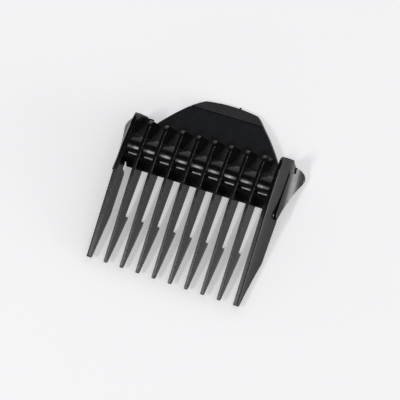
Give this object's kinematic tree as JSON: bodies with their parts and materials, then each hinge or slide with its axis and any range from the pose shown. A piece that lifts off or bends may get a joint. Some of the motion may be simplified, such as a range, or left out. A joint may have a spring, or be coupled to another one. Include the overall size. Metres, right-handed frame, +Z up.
{
  "type": "hair clipper guide comb",
  "caption": "Black moulded guide comb for a hair clipper: straight tines on a cross rail, flexing side wings with grip ears, and a thumb tab.",
  "frame": {"origin": "centre of the bounding box's bottom face, on the surface that the comb rests on", "axes": "+X across the comb, +Y from the tine tips to the thumb tab, +Z up; the comb rests on its tine steps and its tab, so the tops of the tines rise towards +Y"},
  "size_m": [0.0558, 0.0528, 0.0092],
  "materials": {
    "comb_plastic": "moulded black plastic, semi-gloss",
    "tab_plastic": "moulded black plastic, fine matte texture"
  },
  "bodies": {
    "comb": {"inner_tine_1": "comb_plastic", "inner_tine_2": "comb_plastic", "inner_tine_3": "comb_plastic", "inner_tine_4": "comb_plastic", "inner_tine_5": "comb_plastic", "inner_tine_6": "comb_plastic", "inner_tine_7": "comb_plastic", "inner_tine_8": "comb_plastic", "left_outer_tine": "comb_plastic", "right_outer_tine": "comb_plastic", "front_apron": "comb_plastic", "rail_ridge": "comb_plastic", "rear_web": "comb_plastic", "left_heel_wall": "comb_plastic", "right_heel_wall": "comb_plastic"},
    "tab": {"thumb_tab": "tab_plastic", "tab_tip": "tab_plastic", "tab_catch_lip": "tab_plastic", "gate_vestige": "tab_plastic"},
    "right_wing": {"right_side_wing": "comb_plastic", "right_grip_ear": "comb_plastic", "right_latch_nib": "comb_plastic"},
    "left_wing": {"left_side_wing": "comb_plastic", "left_grip_ear": "comb_plastic", "left_latch_nib": "comb_plastic"}
  },
  "joints": [
    {"name": "thumb_tab_flex", "type": "hinge", "parent": "comb", "child": "tab", "pos_m": [0, 0.01637, 0.00219], "axis": [1, 0, 0], "range_deg": [0, 4], "stiffness_Nm_per_rad": 1},
    {"name": "right_wing_flex", "type": "hinge", "parent": "comb", "child": "right_wing", "pos_m": [0.02461, 0.0121, 0.00458], "axis": [-0.538, -0.1809, 0.8233], "range_deg": [0, 6], "stiffness_Nm_per_rad": 0.1},
    {"name": "left_wing_flex", "type": "hinge", "parent": "comb", "child": "left_wing", "pos_m": [-0.02461, 0.0121, 0.00458], "axis": [-0.538, 0.1809, -0.8233], "range_deg": [0, 6], "stiffness_Nm_per_rad": 0.1}
  ]
}
